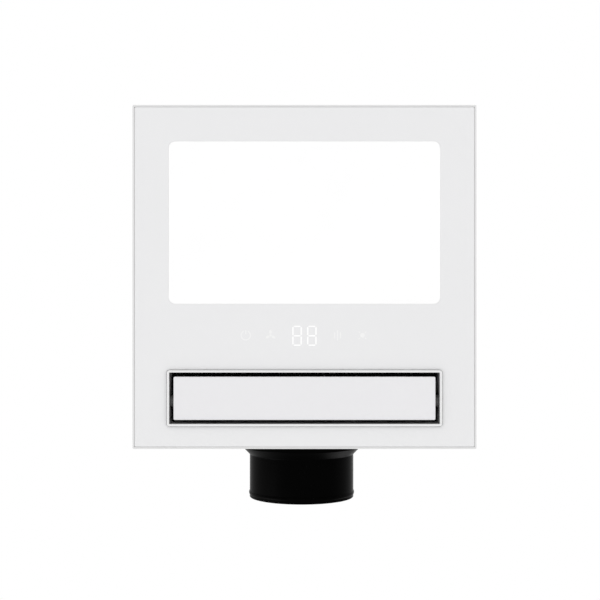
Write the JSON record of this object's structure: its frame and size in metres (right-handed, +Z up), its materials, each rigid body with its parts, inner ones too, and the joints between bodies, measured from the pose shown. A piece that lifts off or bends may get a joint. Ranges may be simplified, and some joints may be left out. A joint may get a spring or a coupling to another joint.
{
  "type": "bathroom ceiling heater",
  "caption": "Square ceiling heater with a light window, a small display, a warm-air outlet with a swinging blade, and a round duct spigot behind the panel.",
  "frame": {"origin": "centre of the panel in the plane of the ceiling, which the ring's raised step meets", "axes": "+Z up into the ceiling void, the visible face looks along -Z, and the duct spigot points along -Y"},
  "size_m": [0.311, 0.3577, 0.1658],
  "materials": {
    "face_grey": "satin, back-painted",
    "rim_silver": "satin silver-white",
    "trim_silver": "satin silver-white",
    "blade_white": "fine satin",
    "bush_grey": "moulded",
    "window_white": "opal",
    "display_light": "white figures",
    "clear_sheet": "clear",
    "white_sheet": "matt",
    "white_plastic": "moulded",
    "circuit_board": "green lacquer",
    "tray_metal": "mill",
    "case_steel": "galvanised",
    "bracket_steel": "galvanised",
    "dark_wire": "black",
    "heater_frame": "heat-proof moulding",
    "heater_metal": "mill",
    "terminal_brass": "bright",
    "black_plastic": "moulded",
    "spigot_black": "semi-gloss moulding",
    "black_rubber": "matt",
    "bright_steel": "zinc plated",
    "motor_steel": "zinc plated",
    "motor_iron": "laminated, wound",
    "wheel_plastic": "moulded",
    "foam_grey": "foam"
  },
  "bodies": {
    "root": {"panel_frame": "rim_silver", "panel_screws": "bright_steel", "face_plate": "face_grey", "display_digits": "display_light", "display_icons": "display_light", "display_shroud": "black_plastic", "display_board": "circuit_board", "face_screws": "bright_steel", "light_diffuser": "window_white", "light_guide": "clear_sheet", "reflector_sheet": "white_sheet", "led_strips": "circuit_board", "light_tray": "tray_metal", "led_driver": "white_plastic", "ceiling_ring": "white_plastic", "housing": "case_steel", "top_lid": "case_steel", "case_screws": "bright_steel", "hanger_brackets": "bracket_steel", "outlet_trim": "trim_silver", "louvre_bushes": "bush_grey", "louvre_motor": "motor_steel", "outlet_duct": "case_steel", "outlet_guard": "dark_wire", "ptc_frame": "heater_frame", "ptc_bars": "heater_metal", "ptc_fins": "heater_metal", "ptc_terminals": "terminal_brass", "thermal_cutout": "black_plastic", "damper_housing": "case_steel", "damper_bushes": "white_plastic", "damper_motor": "motor_steel", "volute_shell": "black_plastic", "volute_cover": "black_plastic", "inlet_ring": "black_plastic", "motor_case": "motor_steel", "motor_stator": "motor_iron", "motor_bearings": "bright_steel", "motor_grommets": "black_rubber", "capacitor": "white_plastic", "fan_rails": "bracket_steel", "fan_screws": "bright_steel", "duct_spigot": "spigot_black", "spigot_gasket": "foam_grey", "wiring_box": "black_plastic", "terminal_block": "white_plastic", "cable_gland": "black_plastic", "control_base": "white_plastic", "control_board": "circuit_board", "control_cover": "white_plastic"},
    "louvre": {"louvre_blade": "blade_white", "louvre_drive_shaft": "bright_steel"},
    "fan_wheel": {"impeller": "wheel_plastic", "impeller_nut": "bright_steel", "motor_rotor": "motor_steel"},
    "damper": {"damper_flap": "black_plastic", "damper_seal": "black_rubber", "damper_shaft": "bright_steel"},
    "backdraft": {"backdraft_flap": "black_plastic", "backdraft_pin": "bright_steel"}
  },
  "joints": [
    {"name": "louvre_swing", "type": "hinge", "parent": "root", "child": "louvre", "pos_m": [0, -0.1087, -0.004], "axis": [1, 0, 0], "range_deg": [0, 90]},
    {"name": "fan_spin", "type": "hinge", "parent": "root", "child": "fan_wheel", "pos_m": [0.028, 0.033, 0.08], "axis": [0, 0, 1], "continuous": true},
    {"name": "damper_swing", "type": "hinge", "parent": "root", "child": "damper", "pos_m": [0, -0.1317, 0.0526], "axis": [1, 0, 0], "range_deg": [0, 90]},
    {"name": "backdraft_swing", "type": "hinge", "parent": "root", "child": "backdraft", "pos_m": [0.0024, -0.172, 0.09], "axis": [-1, 0, 0], "range_deg": [0, 60]}
  ]
}
